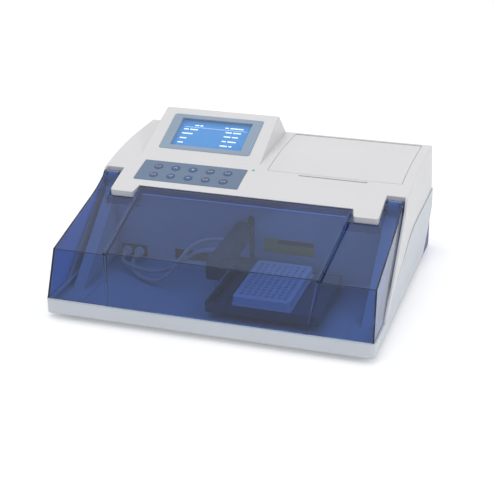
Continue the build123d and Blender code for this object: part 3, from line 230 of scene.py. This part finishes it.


# The shell, base and chamber finishes carry painted shade in their corners.
finish = {
    "shell": moulded("shell_white", (222, 221, 221), (0.34, 0.46), rounding=0.0012, spread=0.015, corner_shade=0.25),
    "base": moulded("base_grey", (205, 210, 217), (0.36, 0.48), rounding=0.0012, spread=0.02, corner_shade=0.25),
    "chamber": moulded("chamber_grey", (200, 203, 208), (0.4, 0.52), spark=0.04, rounding=0.0006, spread=0.02,
                       corner_shade=0.3),
    "lid": tinted_lid(),
    "foot": moulded("foot_rubber", (26, 26, 28), (0.6, 0.8), spark=0.2),
    "foot_blue": moulded("foot_blue", (50, 66, 122), (0.35, 0.5)),
    "bezel": moulded("bezel_grey_blue", (146, 163, 182), (0.4, 0.5), spark=0.08, rounding=0.0005),
    "overlay": moulded("overlay_slate", (104, 124, 149), (0.36, 0.46), spark=0.1, rounding=0.0002),
    "key": moulded("key_blue", (63, 92, 134), (0.3, 0.42), spark=0.06, rounding=0.0004),
    "screen": lit("screen_blue", (28, 128, 200), strength=0.3),
    "screen_mark": lit("screen_mark", (214, 236, 252), strength=0.75),
    "mark_light": moulded("key_mark_light", (208, 216, 226), (0.4, 0.5), spark=0.02, rounding=0.0),
    "mark_warm": moulded("key_mark_warm", (214, 160, 128), (0.4, 0.5), spark=0.02, rounding=0.0),
    "glass": clear("window_glass", (210, 228, 244), low=0.03, high=0.35),
    "board": moulded("board_green", (24, 84, 52), (0.3, 0.5)),
    "lamp": lit("lamp_green", (30, 150, 84), strength=0.35),
    "carrier": moulded("carrier_blue_grey", (84, 98, 114), (0.4, 0.55), spark=0.12, rounding=0.0006,
                       spread=0.06),
    "plate": moulded("plate_white", (214, 222, 234), (0.16, 0.26), spark=0.02, rounding=0.0003, spread=0.03),
    "manifold": moulded("manifold_olive", (66, 80, 78), (0.38, 0.5), spark=0.1, spread=0.05),
    "steel": metal("plain_steel", (188, 190, 194), (0.18, 0.34), (0.05, 1.0, 1.0)),
    "needle": metal("needle_steel", (176, 180, 186), (0.15, 0.28), (1.0, 1.0, 0.05), rounding=0.0),
    "aluminium": metal("sheet_aluminium", (186, 188, 192), (0.32, 0.46), (0.06, 1.0, 1.0)),
    "motor": moulded("motor_black", (30, 31, 34), (0.4, 0.6), spark=0.1),
    "dark": moulded("dark_plastic", (30, 31, 34), (0.4, 0.55), spark=0.1, rounding=0.0003),
    "fitting": moulded("fitting_white", (220, 222, 224), (0.35, 0.45), spark=0.04, rounding=0.0004),
    "tube": clear("tube_silicone", (240, 218, 204), low=0.88, high=0.98, rough=0.3),
    "paper": moulded("paper_white", (238, 237, 232), (0.75, 0.9), spark=0.2, rounding=0.0),
    "panel": moulded("panel_paint", (168, 172, 178), (0.4, 0.5), spark=0.1, rounding=0.0003),
    "patch_red": moulded("patch_red", (190, 74, 58), (0.4, 0.5), spark=0.02, rounding=0.0),
    "patch_yellow": moulded("patch_yellow", (222, 186, 52), (0.4, 0.5), spark=0.02, rounding=0.0),
}

carried = {
    "base_tray": "base", "top_cover": "shell", "chamber_liner": "chamber", "lid": "lid", "front_feet": "foot",
    "rear_feet": "foot_blue", "housing_screws": "steel", "display_bezel": "bezel", "display_window": "glass",
    "display_panel": "screen", "keypad_overlay": "overlay", "keypad_board": "board", "status_light": "lamp",
    "lid_pins": "steel", "plate_carrier": "carrier", "microplate": "plate", "carriage_slider": "carrier",
    "carriage_frame": "aluminium", "carriage_rods": "steel", "carriage_screw": "steel",
    "carriage_motor": "motor", "lift_frame": "aluminium", "lift_rods": "steel", "lift_screw": "steel",
    "lift_motor": "motor",
    "lift_block": "manifold", "manifold_bar": "manifold", "needles": "needle", "manifold_fittings": "steel",
    "fitting_plate": "dark", "wall_fittings": "fitting", "valve_block": "dark", "power_supply": "aluminium",
    "main_board": "board", "wash_pump": "motor", "vacuum_pump": "motor", "paper_cover": "shell",
    "paper_bay": "base", "paper_spindle": "dark", "paper_roll": "paper", "printer_frame": "dark",
    "platen_roller": "foot", "rear_panel": "panel", "hose_ports": "steel", "power_inlet": "dark",
    "switch_body": "dark", "power_rocker": "dark", "serial_port": "steel",
}
for row in (1, 2):
    for column in range(1, 6):
        carried[f"key_{row}_{column}"] = "key"

for node, key in carried.items():
    for slot in nodes[node].material_slots:
        slot.material = finish[key]


# Tubes, in millimetres
TUBE_RADIUS = 3.0
WALL_Y = -22.0
CHAMBER_FLOOR = 20.0
PORT_Y = -30.0
PORT_Z = 33.0
BARB_X = -17.0


def tube(name, points, radius):
    """Limp silicone tube on a smooth line through its control points."""
    curve = bpy.data.curves.new(name, "CURVE")
    curve.dimensions = "3D"
    spline = curve.splines.new("NURBS")
    spline.points.add(len(points) - 1)
    for place, point in zip(spline.points, points):
        place.co = (point[0] * MM, point[1] * MM, point[2] * MM, 1)
    spline.order_u = 3
    spline.use_endpoint_u = True
    curve.resolution_u = 14
    curve.bevel_depth = radius * MM
    curve.bevel_resolution = 5
    curve.use_fill_caps = True
    obj = bpy.data.objects.new(name, curve)
    bpy.context.collection.objects.link(obj)
    curve.materials.append(finish["tube"])
    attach(obj, "housing")
    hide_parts(name)


def limp(port, barb, places):
    """Control points from a port in the wall to a barb of the manifold, as in the solid tubes.

    Each place is a share of the way across, a distance before the wall and a height over the floor.
    """
    across = BARB_X - port
    middle = [(port + share * across, WALL_Y - before, CHAMBER_FLOOR + rise)
              for share, before, rise in places]
    return [(port, PORT_Y, PORT_Z)] + middle + [(BARB_X, barb[0], barb[1])]


wash_line = limp(-188.7, (-84.0, 79.0), ((0, 36, 13), (0.167, 54, 13), (0.354, 62, 12), (0.517, 62, 18),
                                         (0.691, 62, 41), (0.849, 62, 59)))
suction_line = limp(-168.8, (-61.0, 86.0), ((0, 34, 13), (0.098, 60, 4), (0.335, 80, 4.5), (0.499, 82, 16),
                                            (0.611, 78, 42), (0.710, 62, 62), (0.842, 39, 66)))
tube("wash_tube", wash_line, TUBE_RADIUS)
tube("suction_tube", suction_line, TUBE_RADIUS)


# Pieces with their own mesh, in millimetres
def piece(name, bm, body, key, replaces=()):
    mesh = bpy.data.meshes.new(name)
    bm.normal_update()
    bm.to_mesh(mesh)
    bm.free()
    obj = bpy.data.objects.new(name, mesh)
    bpy.context.collection.objects.link(obj)
    mesh.materials.append(finish[key])
    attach(obj, body)
    if replaces:
        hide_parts(*replaces)


def facing(x, y, z, angle):
    """Frame of a face that rises to the rear at an angle: its place, across, up the face and out of it."""
    across = Vector((1, 0, 0))
    out = Vector((0, -math.sin(angle), math.cos(angle)))
    up = out.cross(across)
    return Vector((x, y, z)), across, up, out


def slab(bm, base, outline, lift, thick):
    """Thin plate with any outline on a face."""
    origin, across, up, out = base
    low = [bm.verts.new((origin + across * u + up * v + out * lift) * MM) for u, v in outline]
    high = [bm.verts.new((origin + across * u + up * v + out * (lift + thick)) * MM) for u, v in outline]
    bm.faces.new(list(reversed(low)))
    bm.faces.new(high)
    count = len(outline)
    for i in range(count):
        j = (i + 1) % count
        bm.faces.new((low[i], low[j], high[j], high[i]))


def plaque(bm, base, x, y, w, h, lift, thick=0.02, round_by=0.0):
    """Thin bar on a face, with corners rounded by round_by."""
    corners = ((w / 2, h / 2, 0), (-w / 2, h / 2, 90), (-w / 2, -h / 2, 180), (w / 2, -h / 2, 270))
    if round_by:
        outline = []
        for cx, cy, start in corners:
            for step in range(5):
                a = math.radians(start + step * 22.5)
                outline.append((cx - math.copysign(round_by, cx) + round_by * math.cos(a),
                                cy - math.copysign(round_by, cy) + round_by * math.sin(a)))
    else:
        outline = [(cx, cy) for cx, cy, start in corners]
    slab(bm, base, [(x + u, y + v) for u, v in outline], lift, thick)


# Crown of the top cover, an arc from its front edge up to the flat deck, and the hood on it
CROWN_RADIUS = 573.0
CROWN_TOP = 167.6
CROWN_FRONT_Y = -26.5
CROWN_FRONT_Z = 144.1
CROWN_Y = CROWN_FRONT_Y + math.sqrt(CROWN_RADIUS ** 2 - (CROWN_RADIUS - CROWN_TOP + CROWN_FRONT_Z) ** 2)
HOOD_FOOT_Y = 59
HOOD_RISE = 43.1
HOOD_RUN = 114.0
HOOD_ANGLE = math.atan2(HOOD_RISE, HOOD_RUN)
DISPLAY_X = -98.5
DISPLAY_UP = 61.4
KEYPAD_X = -97.3
KEYPAD_Y = 14.2


def crown_height(y):
    if y >= CROWN_Y:
        return CROWN_TOP
    return CROWN_TOP - CROWN_RADIUS + math.sqrt(CROWN_RADIUS ** 2 - (CROWN_Y - y) ** 2)


display_face = facing(DISPLAY_X, HOOD_FOOT_Y + DISPLAY_UP * math.cos(HOOD_ANGLE),
                      crown_height(HOOD_FOOT_Y) + DISPLAY_UP * math.sin(HOOD_ANGLE), HOOD_ANGLE)
keypad_face = facing(KEYPAD_X, KEYPAD_Y, crown_height(KEYPAD_Y),
                     math.asin((CROWN_Y - KEYPAD_Y) / CROWN_RADIUS))

# Marks on the display: height of the bars, their corners, the gap between two, and how deep the panel lies
BAR = 2.6
BAR_CORNER = 0.6
BAR_GAP = 2.4
SCREEN_LIFT = -5.95
HEADING = ((-33, 7), (-25.5, 5), (17, 6), (33.5, 22))
LEFT_ENTRIES = ((14.5, (8, 13)), (4.0, (18,)), (-7.5, (11,)), (-18.5, (9,)))
RIGHT_ENTRIES = ((14.5, (10, 13)), (4.0, (11, 10)), (-7.5, (7, 14)), (-18.5, (12, 5)))


def screen_marks():
    """Plain bars on the lit display: a heading with a line below it, and two columns of entries."""
    bm = bmesh.new()
    plaque(bm, display_face, 0, 20.2, 104, 0.5, SCREEN_LIFT)
    for x, w in HEADING:
        plaque(bm, display_face, x, 25.2, w, BAR, SCREEN_LIFT, round_by=BAR_CORNER)
    for first_x, entries in ((-52, LEFT_ENTRIES), (18, RIGHT_ENTRIES)):
        for y, words in entries:
            x = first_x
            for w in words:
                plaque(bm, display_face, x + w / 2, y, w, BAR, SCREEN_LIFT, round_by=BAR_CORNER)
                x += w + BAR_GAP
    piece("screen_marks", bm, "housing", "screen_mark")


screen_marks()

# Marks on the keys
KEY_PITCH_X = 27.8
KEY_PITCH_Y = 23.1
KEY_TOP = 0.55
MARK_THICK = 0.03
SIGN_LENGTH = 4.4
SIGN_WIDTH = 1.0


def key_marks():
    """Plain marks on the keys: bars, chevrons, a plus and a minus."""
    for row in (1, 2):
        for column in range(1, 6):
            x, y = (column - 3) * KEY_PITCH_X, (row - 1.5) * KEY_PITCH_Y
            bm = bmesh.new()
            kind = {2: "chevron", 3: "sign"}.get(column, "bars")
            if kind == "chevron":
                s = 1 if row == 2 else -1
                for side in (-1, 1):
                    outline = [(x, y + 1.5 * s), (x + 3.2 * side, y - 0.9 * s),
                               (x + 3.2 * side, y - 1.9 * s), (x, y + 0.5 * s)]
                    if side * s > 0:
                        outline.reverse()
                    slab(bm, keypad_face, outline, KEY_TOP, MARK_THICK)
            elif kind == "sign":
                plaque(bm, keypad_face, x, y, SIGN_LENGTH, SIGN_WIDTH, KEY_TOP, MARK_THICK)
                if row == 2:
                    plaque(bm, keypad_face, x, y, SIGN_WIDTH, SIGN_LENGTH, KEY_TOP + 0.001, MARK_THICK)
            else:
                for dx, w in ((-2.4, 3.2), (2.2, 3.8)):
                    plaque(bm, keypad_face, x + dx, y, w, 1.7, KEY_TOP, MARK_THICK, round_by=0.3)
            colour = "mark_light" if kind != "bars" else "mark_warm"
            piece(f"key_mark_{row}_{column}", bm, f"key_{row}_{column}", colour)


key_marks()


def wall_patch():
    """Blank two-tone panel on the chamber wall, with no words or symbols."""
    wall = (Vector((68.5, WALL_Y, 68.5)), Vector((1, 0, 0)), Vector((0, 0, 1)), Vector((0, -1, 0)))
    bm = bmesh.new()
    plaque(bm, wall, 0, 0, 77, 23, 0.02, 0.12, round_by=1.0)
    piece("wall_patch", bm, "housing", "patch_yellow")
    bm = bmesh.new()
    plaque(bm, wall, 10, 7.2, 54, 6.6, 0.15, 0.05, round_by=0.5)
    piece("wall_patch_band", bm, "housing", "patch_red")


wall_patch()

# Microplate: place, heights, wells, and its skirt from the top down to the recess below
PLATE_X = 71.85
PLATE_Y = -113.3
PLATE_TOP = 56.65
PLATE_BOTTOM = 42.3
WELL_PITCH = 9
WELL_SIDES = 24
WELL_PROFILE = ((None, 0), (3.75, 0), (3.65, 0.35), (3.35, 0.35), (3.3, -0.3), (3.2, -10.4), (2.9, -10.9))
MERGE_DISTANCE = 0.00001
SKIRT = ((72, 108, PLATE_TOP, 0.01), (82.0, 124.2, PLATE_TOP, 4.0), (82.4, 124.6, PLATE_TOP - 0.4, 4.0),
         (82.4, 124.6, PLATE_BOTTOM + 2.6, 4.0), (85.2, 127.5, PLATE_BOTTOM + 2.5, 4.0),
         (85.4, 127.7, PLATE_BOTTOM, 4.0), (80, 122, PLATE_BOTTOM, 3.0), (80, 122, PLATE_BOTTOM + 2.2, 3.0))


def well(bm, cx, cy):
    """One well with a raised rim, in its own square of the plate's top."""
    rings = []
    for radius, rise in WELL_PROFILE:
        ring = []
        for i in range(WELL_SIDES):
            a = 2 * math.pi * i / WELL_SIDES
            if radius is None:
                reach = WELL_PITCH / 2 / max(abs(math.cos(a)), abs(math.sin(a)))
            else:
                reach = radius
            ring.append(bm.verts.new(((cx + reach * math.cos(a)) * MM, (cy + reach * math.sin(a)) * MM,
                                      (PLATE_TOP + rise) * MM)))
        rings.append(ring)
    for a, b in zip(rings, rings[1:]):
        for i in range(WELL_SIDES):
            j = (i + 1) % WELL_SIDES
            bm.faces.new((a[i], a[j], b[j], b[i]))
    bm.faces.new(rings[-1])


def rim(bm, width, length, z, cut):
    """One level of the skirt, a rectangle with its corners cut."""
    w, l = width / 2, length / 2
    outline = ((-w + cut, -l), (w - cut, -l), (w, -l + cut), (w, l - cut), (w - cut, l), (-w + cut, l),
               (-w, l - cut), (-w, -l + cut))
    return [bm.verts.new(((PLATE_X + x) * MM, (PLATE_Y + y) * MM, z * MM)) for x, y in outline]


def plate():
    """Microplate with ninety-six round wells in a stepped skirt."""
    bm = bmesh.new()
    for column in range(8):
        for row in range(12):
            well(bm, PLATE_X + (column - 3.5) * WELL_PITCH, PLATE_Y + (row - 5.5) * WELL_PITCH)
    bmesh.ops.remove_doubles(bm, verts=bm.verts, dist=MERGE_DISTANCE)
    rims = [rim(bm, *level) for level in SKIRT]
    for a, b in zip(rims, rims[1:]):
        for i in range(8):
            j = (i + 1) % 8
            bm.faces.new((a[i], b[i], b[j], a[j]))
    bm.faces.new(rims[-1])
    bmesh.ops.recalc_face_normals(bm, faces=bm.faces)
    piece("microplate_body", bm, "carriage", "plate", replaces=("microplate",))


plate()


# Floor, light and world
FLOOR_SIZE = 30
FLOOR_GLOW = 0.22


def seen_rays(tree):
    """One for the rays that the camera, a gloss or a glass sends out, and nought for the light itself."""
    path = tree.nodes.new("ShaderNodeLightPath")
    total = path.outputs["Is Camera Ray"]
    for name in ("Is Glossy Ray", "Is Transmission Ray"):
        larger = tree.nodes.new("ShaderNodeMath")
        larger.operation = "MAXIMUM"
        tree.links.new(total, larger.inputs[0])
        tree.links.new(path.outputs[name], larger.inputs[1])
        total = larger.outputs[0]
    return total


def floor():
    bm = bmesh.new()
    bmesh.ops.create_grid(bm, x_segments=1, y_segments=1, size=FLOOR_SIZE)
    mesh = bpy.data.meshes.new("floor")
    bm.to_mesh(mesh)
    bm.free()
    obj = bpy.data.objects.new("floor", mesh)
    bpy.context.collection.objects.link(obj)
    f = Finish("floor_white")
    base = (0.94, 0.94, 0.945, 1)
    f.colour(f.mix(f.ramp(f.noise(1.5), 0.0, 1.0), base, shade(base, 1.02)))
    f.rough(f.ramp(f.noise(3.0), 0.3, 0.36))
    f.set(Emission_Color=(1, 1, 1, 1))
    glow = f.ramp(seen_rays(f.mat.node_tree), 0.0, FLOOR_GLOW, start=0.0, stop=1.0)
    f.links.new(glow, f.shader.inputs["Emission Strength"])
    obj.data.materials.append(f.mat)


floor()


def area(name, place, target, size, power):
    """Soft square lamp that leaves no reflection of its own."""
    data = bpy.data.lights.new(name, "AREA")
    data.shape = "RECTANGLE"
    data.size = size
    data.size_y = size
    data.energy = power
    obj = bpy.data.objects.new(name, data)
    obj.location = place
    obj.rotation_euler = (Vector(target) - Vector(place)).to_track_quat("-Z", "Y").to_euler()
    obj.visible_glossy = False
    bpy.context.collection.objects.link(obj)


area("overhead", (-0.3, 0.3, 2.6), (0, 0, 0.05), size=2.6, power=21)
area("front_soft", (-1.6, -2.2, 1.8), (0, 0, 0.1), size=1.8, power=13)
area("right_soft", (2.2, -0.6, 1.4), (0, 0, 0.1), size=1.4, power=14)


def light_world():
    """Grey surroundings for the light, which the camera, glosses and glass see as white."""
    world = bpy.data.worlds.new("world")
    world.use_nodes = True
    bpy.context.scene.world = world
    tree = world.node_tree
    back = tree.nodes["Background"]
    split = tree.nodes.new("ShaderNodeMix")
    split.data_type = "RGBA"
    split.inputs[MIX_FIRST].default_value = (0.55, 0.56, 0.58, 1)
    split.inputs[MIX_SECOND].default_value = (1, 1, 1, 1)
    tree.links.new(seen_rays(tree), split.inputs["Factor"])
    tree.links.new(split.outputs[MIX_RESULT], back.inputs["Color"])
    back.inputs["Strength"].default_value = 1.0


light_world()
bpy.context.scene.view_settings.view_transform = "Standard"
